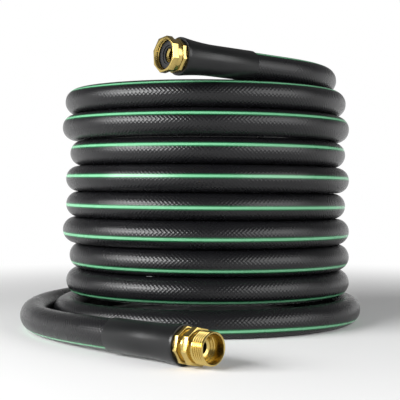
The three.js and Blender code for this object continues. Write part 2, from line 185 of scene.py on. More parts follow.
FERRULE_GAP = 0.3
FERRULE_LENGTH = 20.0
HOSE_STOP_GAP = 1.3
CRIMP = 12.7
CRIMP_RUNOUT = 6
SLEEVE_LENGTH = 84.5
SLEEVE_THIN = 14.6
SLEEVE_MOUTH = 14.4
SLEEVE_HOSE = 13.8
SLEEVE_STEP_LENGTH = 2
SLEEVE_RIM_LENGTH = 2.5
SLEEVE_SHOULDER_LENGTH = 36.0
SHOULDER_CURVE = 1.9
SHOULDER_STEPS = 24

# A sleeve's rounded edges, as pairs of an inset from its skin and a distance from its end
SLEEVE_RIM_EDGE = [(0.6, 0), (0.2, 0.15), (0, 0.6)]
SLEEVE_BACK_EDGE = [(0, 0.5), (0.15, 0.15), (0.5, 0)]

# How far a shape runs into the one that it joins, and past the one that it cuts
OVERLAP = 1
OVERRUN = 2

# How finely round shapes are made, and from what angle an edge stays sharp
TURNED_STEPS = 96
ROUND_SEGMENTS = 3
FITTING_SMOOTH_ANGLE = math.radians(35)
HOSE_SMOOTH_ANGLE = math.radians(40)


def smooth(share):
    """An S-curve from 0 to 1."""
    share = min(max(share, 0.0), 1.0)
    return share * share * (3 - 2 * share)


def rows_down(turn):
    """How many rows below the top one the hose lies at this turn."""
    whole = math.floor(turn)
    part = turn - whole
    if turn >= ROWS - 0.5:
        return ROWS
    if turn >= ROWS - 1:
        return ROWS - 1 + smooth(2 * part)
    if part < 0.5:
        return whole + (1 - FRONT_DROP_SHARE) * smooth(2 * part)
    return whole + 1 - FRONT_DROP_SHARE * 2 * (1 - part)


def side_offset(half_turn):
    """How far the hose stands out from the stack's mean radius at a side of the stack."""
    if half_turn < 0:
        return -TOP_TURN_INSET - TOP_END_DRAW_IN
    if half_turn == 0:
        return -TOP_TURN_INSET
    if half_turn < 2 * ROWS - 1:
        return SIDE_SWAY[(half_turn - 1) % len(SIDE_SWAY)]
    if half_turn <= 2 * ROWS:
        return BOTTOM_ROW_SPREAD
    return BOTTOM_ROW_SPREAD + HOSE_OD + TAIL_SIDE_GAP


def coil_point(turn):
    """A point of the coil's centreline. Turns are counted from the right side, backwards."""
    angle = turn * 2 * math.pi
    before = math.floor(2 * turn)
    across = (turn - ROWS) / TAIL_SPREAD_TURNS if turn > ROWS else 2 * turn - before
    near, far = side_offset(before), side_offset(before + 1)
    radius = COIL_RADIUS + near + (far - near) * smooth(across)
    forward = BOTTOM_ROW_FORWARD * smooth(2 * (turn - ROWS + 1))
    nest = TOP_TURN_NEST * (1 - min(max(2 * turn, 0), 1)) ** 2
    rise = max(COIL_START + TOP_RISE_TURNS - turn, 0) / TOP_RISE_TURNS
    rise_height = TOP_END_SLOPE * TOP_RISE_TURNS * math.pi * radius * rise**2
    pitch = (TOP_LEVEL - BOTTOM_ROW_HEIGHT) / ROWS
    height = BOTTOM_ROW_HEIGHT + pitch * (ROWS - rows_down(turn)) - nest + rise_height
    return Vector((radius * math.cos(angle), radius * math.sin(angle) - forward, height))


# ---- where the couplings sit ----


def coupling_frame(mouth, facing):
    """The place of a coupling's mouth, with local Z along the way it faces."""
    across = Vector((0, 0, 1)).cross(facing).normalized()
    upright = facing.cross(across)
    return Matrix.Translation(mouth) @ Matrix((across, upright, facing)).transposed().to_4x4()


SWIVEL = next(joint for joint in frame["joints"] if joint["name"] == "nut_swivel")
FEMALE_FACING = Vector(SWIVEL["axis"]).normalized()
FEMALE_MOUTH = Vector(SWIVEL["pos_m"])
FEMALE = coupling_frame(FEMALE_MOUTH, FEMALE_FACING)
FEMALE_FERRULE = FEMALE_COLLAR[1] + FERRULE_GAP
FEMALE_SLEEVE = FEMALE_FERRULE + FERRULE_GAP
TOP_CORNER = FEMALE_MOUTH - FEMALE_FACING * MM * (FEMALE_SLEEVE + SLEEVE_LENGTH + TOP_FREE_LENGTH)

STACK_AXIS = TOP_CORNER - coil_point(COIL_START) * MM
STACK_AXIS.z = 0

MALE_FACING = Vector((math.cos(TAIL_HEADING), math.sin(TAIL_HEADING), 0))
MALE_FERRULE = MALE_COLLAR[1] + FERRULE_GAP
MALE_SLEEVE = MALE_FERRULE + FERRULE_GAP
TAIL_CORNER = coil_point(COIL_END)
TAIL_SLEEVE_BACK = TAIL_CORNER.xy.to_3d() + Vector((*TAIL_ROUTE_END, MALE_SLEEVE_RIM))
MALE_MOUTH = STACK_AXIS + MM * (TAIL_SLEEVE_BACK + MALE_FACING * (MALE_SLEEVE + SLEEVE_LENGTH))
MALE = coupling_frame(MALE_MOUTH, MALE_FACING)


# ---- settings that a user may change ----


def linear(code):
    """An sRGB hex colour as linear RGBA."""
    values = [int(code[i : i + 2], 16) / 255 for i in (1, 3, 5)]
    return [v / 12.92 if v <= 0.04045 else ((v + 0.055) / 1.055) ** 2.4 for v in values] + [1.0]


def colour(name, description, code):
    """A colour setting whose default is an sRGB hex colour."""
    return FloatVectorProperty(
        name=name,
        description=description,
        subtype="COLOR",
        size=4,
        min=0,
        max=1,
        default=linear(code),
    )


class HoseSettings(bpy.types.PropertyGroup):
    """Colours and sizes of the hose's cover"""

    cover: colour("Cover", "Colour of the hose's cover", "#101012")
    stripe: colour("Stripe", "Colour of the stripe's middle", "#6cae85")
    stripe_edge: colour("Stripe edge", "Colour of the stripe's edges", "#0d4a2a")
    stripe_width: FloatProperty(
        name="Stripe width",
        description="Width of the stripe with its edges",
        default=4.6 * MM,
        min=0,
        unit="LENGTH",
    )
    weave_pitch: FloatProperty(
        name="Weave pitch",
        description="Distance between two strands of the weave along the hose",
        default=3.9 * MM,
        min=0.5 * MM,
        unit="LENGTH",
    )
    weave_depth: FloatProperty(
        name="Weave depth",
        description="Height of the weave that shows through the cover",
        default=0.24 * MM,
        min=0,
        unit="LENGTH",
    )
    sides: IntProperty(name="Sides", description="Sides of the hose's section", default=40, min=8)
    steps: IntProperty(name="Steps", description="Rings of the hose in each turn", default=96, min=24)


class FittingSettings(bpy.types.PropertyGroup):
    """Colours of the couplings and how finely their threads are cut"""

    brass: colour("Brass", "Colour of the couplings", "#c8b06a")
    sleeve: colour("Sleeve", "Colour of the bend-restricting sleeves", "#0f1011")
    washer: colour("Washer", "Colour of the rubber washer", "#141518")
    thread_steps: IntProperty(
        name="Thread steps", description="Steps round a thread", default=128, min=32
    )


class StageSettings(bpy.types.PropertyGroup):
    """Colour of the floor and power of the lights"""

    floor: colour("Floor", "Colour of the floor", "#f0f0f0")
    key_power: FloatProperty(
        name="Key light", description="Power of the key light", default=57, min=0, unit="POWER"
    )
    fill_power: FloatProperty(
        name="Fill light", description="Power of the fill light", default=22, min=0, unit="POWER"
    )


# ---- small tools ----

# Points nearer than this are one, in a finished mesh and in an outline before its spin, in metres
WELD_DISTANCE = 1e-6
CLOSING_DISTANCE = 1e-7

# A point of a turned piece lies on its thread's crest when it is within this, in millimetres
SKIN_TOLERANCE = 0.02

COLLAR_SIDES = 8


def deselect():
    """Leaves edit mode and deselects every object."""
    if bpy.context.object and bpy.context.object.mode != "OBJECT":
        bpy.ops.object.mode_set(mode="OBJECT")
    bpy.ops.object.select_all(action="DESELECT")


def pick(piece):
    """Makes the piece the only selected object and the active one."""
    deselect()
    piece.select_set(True)
    bpy.context.view_layer.objects.active = piece


def merge_all():
    """Welds doubled points of the mesh in edit mode and turns its faces outwards."""
    bpy.ops.mesh.select_all(action="SELECT")
    bpy.ops.mesh.remove_doubles(threshold=WELD_DISTANCE)
    bpy.ops.mesh.normals_make_consistent(inside=False)


def spot(radius, station):
    """A point of a coupling's profile: a radius and a distance behind the mouth, in mm."""
    return Vector((radius, 0, -station)) * MM


def turned(name, profile, steps=TURNED_STEPS, rounding=0.0):
    """A closed outline of (radius, station) points, spun round the local Z axis."""
    deselect()
    bpy.ops.mesh.primitive_plane_add(size=MM, location=(0, 0, 0))
    piece = bpy.context.object
    piece.name = name
    bpy.ops.object.mode_set(mode="EDIT")
    bpy.ops.mesh.select_all(action="SELECT")
    bpy.ops.mesh.merge(type="CENTER")
    points = [spot(*point) for point in profile]
    bpy.ops.transform.translate(value=points[0])
    for here, there in zip(points, points[1:] + points[:1]):
        bpy.ops.mesh.extrude_region_move(TRANSFORM_OT_translate={"value": there - here})
    bpy.ops.mesh.select_all(action="SELECT")
    bpy.ops.mesh.remove_doubles(threshold=CLOSING_DISTANCE)
    if rounding:
        bpy.ops.mesh.bevel(
            offset=rounding * MM, segments=ROUND_SEGMENTS, affect="VERTICES", clamp_overlap=True
        )
    bpy.ops.mesh.select_all(action="SELECT")
    bpy.ops.mesh.spin(steps=steps, angle=2 * math.pi, center=(0, 0, 0), axis=(0, 0, 1))
    merge_all()
    bpy.ops.object.mode_set(mode="OBJECT")
    return piece


def octagon(name, flats, front, back, roll):
    """A collar with eight flats and thin eased edges."""
    deselect()
    half_side = math.pi / COLLAR_SIDES
    bpy.ops.mesh.primitive_cylinder_add(
        vertices=COLLAR_SIDES,
        radius=flats / 2 / math.cos(half_side) * MM,
        depth=(back - front) * MM,
        location=(0, 0, -(front + back) / 2 * MM),
        rotation=(0, 0, roll + half_side),
    )
    piece = bpy.context.object
    piece.name = name
    bpy.ops.object.transform_apply(location=True, rotation=True, scale=True)
    bpy.ops.object.mode_set(mode="EDIT")
    bpy.ops.mesh.select_all(action="SELECT")
    bpy.ops.mesh.bevel(offset=EDGE_ROUND * MM, segments=ROUND_SEGMENTS, affect="EDGES")
    bpy.ops.object.mode_set(mode="OBJECT")
    return piece


def combine(piece, tool, operation):
    """Joins the tool to the piece, or cuts it by the tool, and removes the tool."""
    pick(piece)
    step = piece.modifiers.new("combine", "BOOLEAN")
    step.operation = operation
    step.solver = "EXACT"
    step.object = tool
    bpy.ops.object.modifier_apply(modifier=step.name)
    bpy.data.objects.remove(tool)


def finish_piece(piece, placing, material, body, slot, *nodes):
    """Puts a coupling's piece in its place and hands it to the frame."""
    pick(piece)
    piece.data.transform(placing)
    bpy.ops.object.shade_smooth_by_angle(angle=FITTING_SMOOTH_ANGLE)
    piece.data.materials.clear()
    piece.data.materials.append(material)
    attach(piece, body)
    if nodes:
        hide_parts(*nodes)
    return piece


def thread_wave(share):
    """Height of the thread over one pitch, from 0 in the root to 1 on the crest."""
    away = abs(share % 1 - 0.5) * 2
    return min(max((1 - THREAD_FLAT_SHARE - away) / THREAD_FLANK_SHARE, 0), 1)


def cut_thread(piece, front, back, crest, root, fade):
    """Moves a turned piece's skin at the crest radius into a right-hand thread, which fades in and
    out at its ends."""
    for vertex in piece.data.vertices:
        station = -vertex.co.z / MM
        radius = vertex.co.xy.length / MM
        if abs(radius - crest) > SKIN_TOLERANCE or not front < station < back:
            continue
        angle = math.atan2(vertex.co.y, vertex.co.x)
        share = station / THREAD_PITCH + angle / (2 * math.pi)
        strength = smooth((station - front) / fade) * smooth((back - station) / fade)
        new_radius = crest + (root - crest) * (1 - thread_wave(share)) * strength
        vertex.co.xy *= new_radius / radius


def thread_stations(front, back):
    """Stations close enough together to carry a thread."""
    count = round((back - front) / THREAD_PITCH * STATIONS_PER_PITCH)
    return [front + (back - front) * i / count for i in range(count + 1)]


# ---- materials ----

# A noise stays between these values nearly everywhere. Then come the octaves of the noise in
# patches, turning lines and grain.
NOISE_LOW = 0.3
NOISE_HIGH = 0.7
NOISE_DETAIL = 3.0
TURNING_DETAIL = 2.0
GRAIN_DETAIL = 4.0
RUBBER_IOR = 1.5

# Where the stripe's colours change, from its middle outwards, as shares of twice its width
STRIPE_END = 0.12
EDGE_START = 0.145
EDGE_END = 0.24
COVER_START = 0.27

# The weave keeps this share of its height on the stripe, up to the first place, and all of it from
# the second one on. Its two sets of ridges together go from -2 to 2.
STRIPE_WEAVE = 0.15
STRIPE_WEAVE_END = 0.22
WEAVE_START = 0.3
WEAVE_SWING = 4

# Sizes of patterns and heights of their relief, in millimetres
COVER_PATCH = 22.2
BRASS_PATCH = 4.55
TURNING_LINE = 0.25
TURNING_LINE_HEIGHT = 0.0015
MOULDED_PATCH = 16.7
WASHER_GRAIN = (0.667, 0.02)
SLEEVE_GRAIN = (1.11, 0.012)

# Roughness of the smoothest and the roughest patch, and shade of the darkest one
COVER_ROUGHNESS = (0.25, 0.3)
COVER_SPECULAR = 0.36
BRASS_ROUGHNESS = (0.19, 0.23)
BRASS_DARKEST = 0.94
SLEEVE_ROUGHNESS = (0.28, 0.34)
WASHER_ROUGHNESS = (0.55, 0.7)
MOULDED_DARKEST = 0.85
MOULDED_SPECULAR = 0.35


# A Mix node has its share in socket 0, two plain values in 2 and 3, and two colours in 6 and 7
def add_node(tree, kind, inputs=None, **settings):
    """Adds a node, with its settings, and with values or links for its inputs."""
    node = tree.nodes.new(kind)
    for key, value in settings.items():
        setattr(node, key, value)
    for key, value in (inputs or {}).items():
        if isinstance(value, bpy.types.NodeSocket):
            tree.links.new(value, node.inputs[key])
        else:
            node.inputs[key].default_value = value
    return node


def new_material(name):
    """A new material, with its node tree and its shader."""
    material = bpy.data.materials.new(name)
    material.use_nodes = True
    tree = material.node_tree
    return material, tree, tree.nodes["Principled BSDF"]


def hose_cover_material(settings):
    """Hybrid rubber, extruded: near-black and satin, with one stripe extruded into it. The weave
    under the cover shows through as two crossing sets of fine ridges, which catch a soft light as
    a herringbone. They are drawn a little further apart than on a real hose, so that they show."""
    material, tree, surface = new_material("hybrid_rubber_hose_cover")
    lie = add_node(tree, "ShaderNodeUVMap", uv_map="lie")
    split = add_node(tree, "ShaderNodeSeparateXYZ", {0: lie.outputs["UV"]})
    along, around = split.outputs["X"], split.outputs["Y"]
    pitch = settings.weave_pitch / MM
    strands = round(math.pi * HOSE_OD / pitch)
    ridges = []
    for way in (1, -1):
        turns = add_node(
            tree,
            "ShaderNodeMath",
            {0: around, 1: strands / HOSE_OD / math.pi},
            operation="MULTIPLY",
        )
        phase = add_node(
            tree,
            "ShaderNodeMath",
            {0: along, 1: way / pitch, 2: turns.outputs[0]},
            operation="MULTIPLY_ADD",
        )
        wave = add_node(
            tree, "ShaderNodeMath", {0: phase.outputs[0], 1: 2 * math.pi}, operation="MULTIPLY"
        )
        ridges.append(add_node(tree, "ShaderNodeMath", {0: wave.outputs[0]}, operation="SINE"))
    weave = add_node(
        tree, "ShaderNodeMath", {0: ridges[0].outputs[0], 1: ridges[1].outputs[0]}, operation="ADD"
    )
    off_line = add_node(tree, "ShaderNodeMath", {0: around}, operation="ABSOLUTE")
    share = add_node(
        tree,
        "ShaderNodeMath",
        {0: off_line.outputs[0], 1: 2 * settings.stripe_width / MM},
        operation="DIVIDE",
    )
    stripe = add_node(tree, "ShaderNodeValToRGB", {0: share.outputs[0]})
    stops = [
        (0.0, settings.stripe),
        (STRIPE_END, settings.stripe),
        (EDGE_START, settings.stripe_edge),
        (EDGE_END, settings.stripe_edge),
        (COVER_START, settings.cover),
    ]
    elements = stripe.color_ramp.elements
    while len(elements) < len(stops):
        elements.new(1.0)
    for element, (place, value) in zip(elements, stops):
        element.position = place
        element.color = value
    height = add_node(
        tree,
        "ShaderNodeMapRange",
        {0: share.outputs[0], 1: STRIPE_WEAVE_END, 2: WEAVE_START, 3: STRIPE_WEAVE, 4: 1.0},
    )
    relief = add_node(
        tree, "ShaderNodeMath", {0: weave.outputs[0], 1: height.outputs[0]}, operation="MULTIPLY"
    )
    depth = settings.weave_depth / WEAVE_SWING
    bump = add_node(
        tree, "ShaderNodeBump", {"Height": relief.outputs[0], "Distance": depth, "Strength": 1.0}
    )
    place = add_node(tree, "ShaderNodeTexCoord")
    cloud = add_node(
        tree,
        "ShaderNodeTexNoise",
        {
            "Vector": place.outputs["Object"],
            "Scale": 1 / (COVER_PATCH * MM),
            "Detail": NOISE_DETAIL,
        },
    )
    smoothest, roughest = COVER_ROUGHNESS
    roughness = add_node(
        tree,
        "ShaderNodeMapRange",
        {0: cloud.outputs[0], 1: NOISE_LOW, 2: NOISE_HIGH, 3: smoothest, 4: roughest},
    )
    tree.links.new(stripe.outputs[0], surface.inputs["Base Color"])
    tree.links.new(roughness.outputs[0], surface.inputs["Roughness"])
    tree.links.new(bump.outputs[0], surface.inputs["Normal"])
    surface.inputs["IOR"].default_value = RUBBER_IOR
    surface.inputs["Specular IOR Level"].default_value = COVER_SPECULAR
    return material


def brass_material(settings, name, placing):
    """Free-machining brass, turned and left bright: pale yellow, with turning lines that draw its
    reflections out a little round the axis. The lines are drawn coarser than real ones, because
    those are too fine to tell in a render."""
    material, tree, surface = new_material(name)
    place = add_node(tree, "ShaderNodeTexCoord")
    local = add_node(
        tree,
        "ShaderNodeMapping",
        {
            "Vector": place.outputs["Object"],
            "Location": placing.to_translation(),
            "Rotation": placing.to_euler(),
        },
        vector_type="TEXTURE",
    )
    split = add_node(tree, "ShaderNodeSeparateXYZ", {0: local.outputs[0]})
    flat = add_node(
        tree,
        "ShaderNodeCombineXYZ",
        {"X": split.outputs["X"], "Y": split.outputs["Y"], "Z": 0.0},
    )
    radius = add_node(tree, "ShaderNodeVectorMath", {0: flat.outputs[0]}, operation="LENGTH")
    tool_path = add_node(
        tree,
        "ShaderNodeCombineXYZ",
        {"X": radius.outputs["Value"], "Y": split.outputs["Z"], "Z": 0.0},
    )
    lines = add_node(
        tree,
        "ShaderNodeTexNoise",
        {
            "Vector": tool_path.outputs[0],
            "Scale": 1 / (TURNING_LINE * MM),
            "Detail": TURNING_DETAIL,
        },
        noise_dimensions="2D",
    )
    bump = add_node(
        tree,
        "ShaderNodeBump",
        {"Height": lines.outputs[0], "Distance": TURNING_LINE_HEIGHT * MM, "Strength": 1.0},
    )
    cloud = add_node(
        tree,
        "ShaderNodeTexNoise",
        {
            "Vector": place.outputs["Object"],
            "Scale": 1 / (BRASS_PATCH * MM),
            "Detail": NOISE_DETAIL,
        },
    )
    smoothest, roughest = BRASS_ROUGHNESS
    roughness = add_node(
        tree,
        "ShaderNodeMapRange",
        {0: cloud.outputs[0], 1: NOISE_LOW, 2: NOISE_HIGH, 3: smoothest, 4: roughest},
    )
    tint = add_node(
        tree,
        "ShaderNodeMapRange",
        {0: cloud.outputs[0], 1: NOISE_LOW, 2: NOISE_HIGH, 3: BRASS_DARKEST, 4: 1.0},
    )
    shade = add_node(
        tree,
        "ShaderNodeMix",
        {0: 1.0, 6: list(settings.brass), 7: tint.outputs[0]},
        data_type="RGBA",
        blend_type="MULTIPLY",
    )
    tree.links.new(shade.outputs[2], surface.inputs["Base Color"])
    tree.links.new(roughness.outputs[0], surface.inputs["Roughness"])
    tree.links.new(bump.outputs[0], surface.inputs["Normal"])
    surface.inputs["Metallic"].default_value = 1.0
    return material


def moulded_material(name, code, roughness_range, grain):
    """Moulded rubber: black, with the fine grain of its mould. It is satin on the sleeves, which
    come from a polished mould, and matte on the washer."""
    material, tree, surface = new_material(name)
    grain_size, grain_height = grain
    smoothest, roughest = roughness_range
    place = add_node(tree, "ShaderNodeTexCoord")
    fine = add_node(
        tree,
        "ShaderNodeTexNoise",
        {
            "Vector": place.outputs["Object"],
            "Scale": 1 / (grain_size * MM),
            "Detail": GRAIN_DETAIL,
        },
    )
    cloud = add_node(
        tree,
        "ShaderNodeTexNoise",
        {
            "Vector": place.outputs["Object"],
            "Scale": 1 / (MOULDED_PATCH * MM),
            "Detail": NOISE_DETAIL,
        },
    )
    roughness = add_node(
        tree,
        "ShaderNodeMapRange",
        {0: cloud.outputs[0], 1: NOISE_LOW, 2: NOISE_HIGH, 3: smoothest, 4: roughest},
    )
    bump = add_node(
        tree,
        "ShaderNodeBump",
        {"Height": fine.outputs[0], "Distance": grain_height * MM, "Strength": 1.0},
    )
    tint = add_node(
        tree,
        "ShaderNodeMapRange",
        {0: cloud.outputs[0], 1: NOISE_LOW, 2: NOISE_HIGH, 3: MOULDED_DARKEST, 4: 1.0},
    )
    shade = add_node(
        tree,
        "ShaderNodeMix",
        {0: 1.0, 6: list(code), 7: tint.outputs[0]},
        data_type="RGBA",
        blend_type="MULTIPLY",
    )
    tree.links.new(shade.outputs[2], surface.inputs["Base Color"])
    tree.links.new(roughness.outputs[0], surface.inputs["Roughness"])
    tree.links.new(bump.outputs[0], surface.inputs["Normal"])
    surface.inputs["IOR"].default_value = RUBBER_IOR
    surface.inputs["Specular IOR Level"].default_value = MOULDED_SPECULAR
    return material


# ---- stage ----

# The photograph's camera: 400 pixels wide, its focal length in pixels, where the stack's axis and
# the horizon lie in it, and its distance in front of that axis and eye height in metres
PHOTO_SIZE = 400
FOCAL_PIXELS = 1050
AXIS_X_PIXEL = 206.7
HORIZON_Y_PIXEL = 188.7
CAMERA_DISTANCE = 1.133
EYE_HEIGHT = 0.1396
SENSOR = 36
CLIP_END = 50

# The floor's size, and how far from the stack's axis it fades to white, in metres
FLOOR_SIZE = 12
FADE_START = 0.3
FADE_END = 0.9
FLOOR_ROUGHNESS = 0.6
FLOOR_SPECULAR = 0.2

# Both softboxes face this height on the stack's axis. Each has its angles in degrees right of the
# camera and up, and its width and height in metres.
LAMP_AIM_HEIGHT = 0.15
LAMP_DISTANCE = 1.8
KEY_SIDE = -56
KEY_RISE = 19
KEY_SIZE = (1.7, 0.64)
FILL_SIDE = 55
FILL_RISE = 20
FILL_SIZE = (1.8, 1.05)

# Strength of the plain light, and of the studio's ceiling in reflections, which takes over between
# these upward slopes
AMBIENT = 0.6
CEILING = 0.15
CEILING_START = 0.05
CEILING_END = 0.35


class HOSE_OT_stage(bpy.types.Operator):
    """Makes the camera, the floor and the lights"""

    bl_idname = "hose.stage"
    bl_label = "Stage"

    def execute(self, context):
        settings = context.scene.hose_stage
        camera_at_photo(context)
        floor(settings)
        lights(settings)
        world(context)
        context.scene.view_settings.view_transform = "Standard"
        return {"FINISHED"}


def camera_at_photo(context):
    """The camera from which the photograph was taken."""
    deselect()
    pitch = math.atan((PHOTO_SIZE / 2 - HORIZON_Y_PIXEL) / FOCAL_PIXELS)
    yaw = math.atan((AXIS_X_PIXEL - PHOTO_SIZE / 2) / FOCAL_PIXELS)
    bpy.ops.object.camera_add(
        location=(STACK_AXIS.x, STACK_AXIS.y - CAMERA_DISTANCE, EYE_HEIGHT),
        rotation=(math.pi / 2 - pitch, 0, yaw),
    )
    camera = context.object
    camera.name = "photo_camera"
    camera.data.sensor_width = SENSOR
    camera.data.lens = FOCAL_PIXELS / PHOTO_SIZE * SENSOR
    camera.data.clip_end = CLIP_END
    context.scene.camera = camera


def floor(settings):
    """A pale floor that fades to the white background away from the object."""
    deselect()
    bpy.ops.mesh.primitive_plane_add(size=FLOOR_SIZE, location=(STACK_AXIS.x, STACK_AXIS.y, 0))
    ground = bpy.context.object
    ground.name = "floor"
    bpy.ops.object.transform_apply(location=True, rotation=True, scale=True)
    material, tree, surface = new_material("painted_floor")
    surface.inputs["Base Color"].default_value = settings.floor
    surface.inputs["Roughness"].default_value = FLOOR_ROUGHNESS
    surface.inputs["Specular IOR Level"].default_value = FLOOR_SPECULAR
    place = add_node(tree, "ShaderNodeTexCoord")
    away = add_node(
        tree,
        "ShaderNodeVectorMath",
        {0: place.outputs["Object"], 1: (*STACK_AXIS.xy, 0)},
        operation="DISTANCE",
    )
    fade = add_node(
        tree,
        "ShaderNodeMapRange",
        {0: away.outputs["Value"], 1: FADE_START, 2: FADE_END, 3: 0.0, 4: 1.0},
        interpolation_type="SMOOTHSTEP",
    )
    path = add_node(tree, "ShaderNodeLightPath")
    not_lighting = add_node(
        tree, "ShaderNodeMath", {0: 1.0, 1: path.outputs["Is Diffuse Ray"]}, operation="SUBTRACT"
    )
    share = add_node(
        tree,
        "ShaderNodeMath",
        {0: fade.outputs[0], 1: not_lighting.outputs[0]},
        operation="MULTIPLY",
    )
    white = add_node(tree, "ShaderNodeEmission", {"Color": (1, 1, 1, 1), "Strength": 1.0})
    mix = add_node(
        tree, "ShaderNodeMixShader", {0: share.outputs[0], 1: surface.outputs[0], 2: white.outputs[0]}
    )
    tree.links.new(mix.outputs[0], tree.nodes["Material Output"].inputs["Surface"])
    ground.data.materials.append(material)


def softbox(name, side, rise, size, power):
    """A rectangular area light that faces the middle of the stack."""
    target = Vector((STACK_AXIS.x, STACK_AXIS.y, LAMP_AIM_HEIGHT))
    side, rise = math.radians(side), math.radians(rise)
    level = math.cos(rise)
    away = Vector((math.sin(side) * level, -math.cos(side) * level, math.sin(rise)))
    deselect()
    bpy.ops.object.light_add(
        type="AREA",
        location=target + away * LAMP_DISTANCE,
        rotation=away.to_track_quat("Z", "Y").to_euler(),
    )
    lamp = bpy.context.object
    lamp.name = name
    lamp.data.shape = "RECTANGLE"
    lamp.data.size, lamp.data.size_y = size
    lamp.data.energy = power


def lights(settings):
    """A key light on the left and a weaker fill on the right."""
    softbox("key", KEY_SIDE, KEY_RISE, KEY_SIZE, settings.key_power)
    softbox("fill", FILL_SIDE, FILL_RISE, FILL_SIZE, settings.fill_power)


def world(context):
    """Plain light from all round. The camera sees it white, and so do reflections near the horizon,
    above which they find the unlit ceiling of a studio."""
    sky = bpy.data.worlds.new("studio")
    context.scene.world = sky
    sky.use_nodes = True
    tree = sky.node_tree
    tree.nodes.clear()
    path = add_node(tree, "ShaderNodeLightPath")
    way = add_node(tree, "ShaderNodeTexCoord")
    height = add_node(tree, "ShaderNodeSeparateXYZ", {0: way.outputs["Generated"]})
    ceiling = add_node(
        tree,
        "ShaderNodeMapRange",
        {0: height.outputs["Z"], 1: CEILING_START, 2: CEILING_END, 3: 1.0, 4: CEILING},
        interpolation_type="SMOOTHSTEP",
    )
    plain = add_node(
        tree, "ShaderNodeMix", {0: path.outputs["Is Glossy Ray"], 2: AMBIENT, 3: 1.0}
    )
    unseen = add_node(
        tree, "ShaderNodeMath", {0: ceiling.outputs[0], 1: plain.outputs[0]}, operation="MULTIPLY"
    )
    seen = add_node(
        tree,
        "ShaderNodeMath",
        {0: path.outputs["Is Camera Ray"], 1: path.outputs["Is Transmission Ray"]},
        operation="MAXIMUM",
    )
    strength = add_node(
        tree, "ShaderNodeMix", {0: seen.outputs[0], 2: unseen.outputs[0], 3: 1.0}
    )
    glow = add_node(
        tree, "ShaderNodeBackground", {"Color": (1, 1, 1, 1), "Strength": strength.outputs[0]}
    )
    add_node(tree, "ShaderNodeOutputWorld", {"Surface": glow.outputs[0]})


# ---- hose ----


def catmull_rom(points, spacing):
    """A centripetal Catmull-Rom curve through the points, as points about a spacing apart."""
    first = points[0] * 2 - points[1]
    last = points[-1] * 2 - points[-2]
    chain = [first] + points + [last]
    curve = [points[0]]
    for a, b, c, d in zip(chain, chain[1:], chain[2:], chain[3:]):
        times = [0.0]
        for here, there in ((a, b), (b, c), (c, d)):
            times.append(times[-1] + max((there - here).length, WELD_DISTANCE) ** 0.5)
        count = max(round((c - b).length / spacing), 1)
        for i in range(1, count + 1):
            time = times[1] + (times[2] - times[1]) * i / count
            curve.append(blend_points([a, b, c, d], times, time))
    return curve


def blend_points(points, times, time):
    """Neville's rule for one span of a Catmull-Rom curve."""
    level = [
        points[i].lerp(points[i + 1], (time - times[i]) / (times[i + 1] - times[i])) for i in range(3)
    ]
    level = [level[i].lerp(level[i + 1], (time - times[i]) / (times[i + 2] - times[i])) for i in range(2)]
    return level[0].lerp(level[1], (time - times[1]) / (times[2] - times[1]))


def ease(points, rounds):
    """Evens out the bends between the ends of a run of points, each keeping its spacing."""
    for _ in range(rounds):
        points = (
            points[:2]
            + [(a + b * 2 + c) / 4 for a, b, c in zip(points[1:], points[2:], points[3:])]
            + points[-1:]
        )
    return points


def straight(start, end, spacing):
    """Points on a straight line, about a spacing apart."""
    count = max(round((end - start).length / spacing), 1)
    return [start.lerp(end, i / count) for i in range(count + 1)]


def hose_route(steps_per_turn):
    """The hose's centreline in metres, and for each of its points the turn that sets its stripe."""
    spacing = RING_SPACING * MM
    start = FEMALE_MOUTH - FEMALE_FACING * MM * (FEMALE_FERRULE + HOSE_STOP_GAP)
    top = straight(start, TOP_CORNER, spacing)[:-1]
    count = round((COIL_END - COIL_START) * steps_per_turn)
    turns = [COIL_START + (COIL_END - COIL_START) * i / count for i in range(count + 1)]
    coil = [STACK_AXIS + coil_point(turn) * MM for turn in turns]
    sleeve_back = STACK_AXIS + TAIL_SLEEVE_BACK * MM
    lead = sleeve_back - MALE_FACING * TAIL_LEAD * MM
    rise = (MALE_SLEEVE_RIM - TAIL_HEIGHT) / (len(TAIL_ROUTE) + 1)
    marks = []
    for i, (x, y) in enumerate(TAIL_ROUTE):
        height = TAIL_HEIGHT + rise * max(i - 1, 0)
        marks.append(STACK_AXIS + MM * Vector((TAIL_CORNER.x + x, TAIL_CORNER.y + y, height)))
    leaving = coil[-1] + Vector((0, -TAIL_START * MM, 0))
    tail = catmull_rom([coil[-1], leaving] + marks + [lead, sleeve_back], spacing)
    end = MALE_MOUTH - MALE_FACING * MM * (MALE_FERRULE + HOSE_STOP_GAP)
    inside = straight(sleeve_back, end, spacing)[1:]
    run = ease(coil[-EASED_RINGS:-1] + tail + inside[:EASED_SLEEVE_RINGS], EASING_ROUNDS)
    points = top + coil[:-EASED_RINGS] + run + inside[EASED_SLEEVE_RINGS:]
    turn_at = [COIL_START] * len(top) + turns
    return points, turn_at + [COIL_END] * (len(points) - len(turn_at))


# Where the stripe lies round the section, in radians above the outward side, at chosen turns. It
# starts on top of the first row and works its way down by a little in each turn.
STRIPE_AT_TURN = [
    (-0.15, 1.08),
    (0.05, 1.25),
    (0.62, 0.88),
    (0.85, 1.0),
    (1.75, 0.62),
    (2.75, 0.42),
    (3.75, 0.18),
    (4.75, -0.06),
    (5.75, -0.28),
    (6.75, -0.54),
    (7.75, -0.8),
    (8.5, -0.5),
    (8.8, -0.4),
    (9.0, -0.75),
    (9.5, -0.92),
]


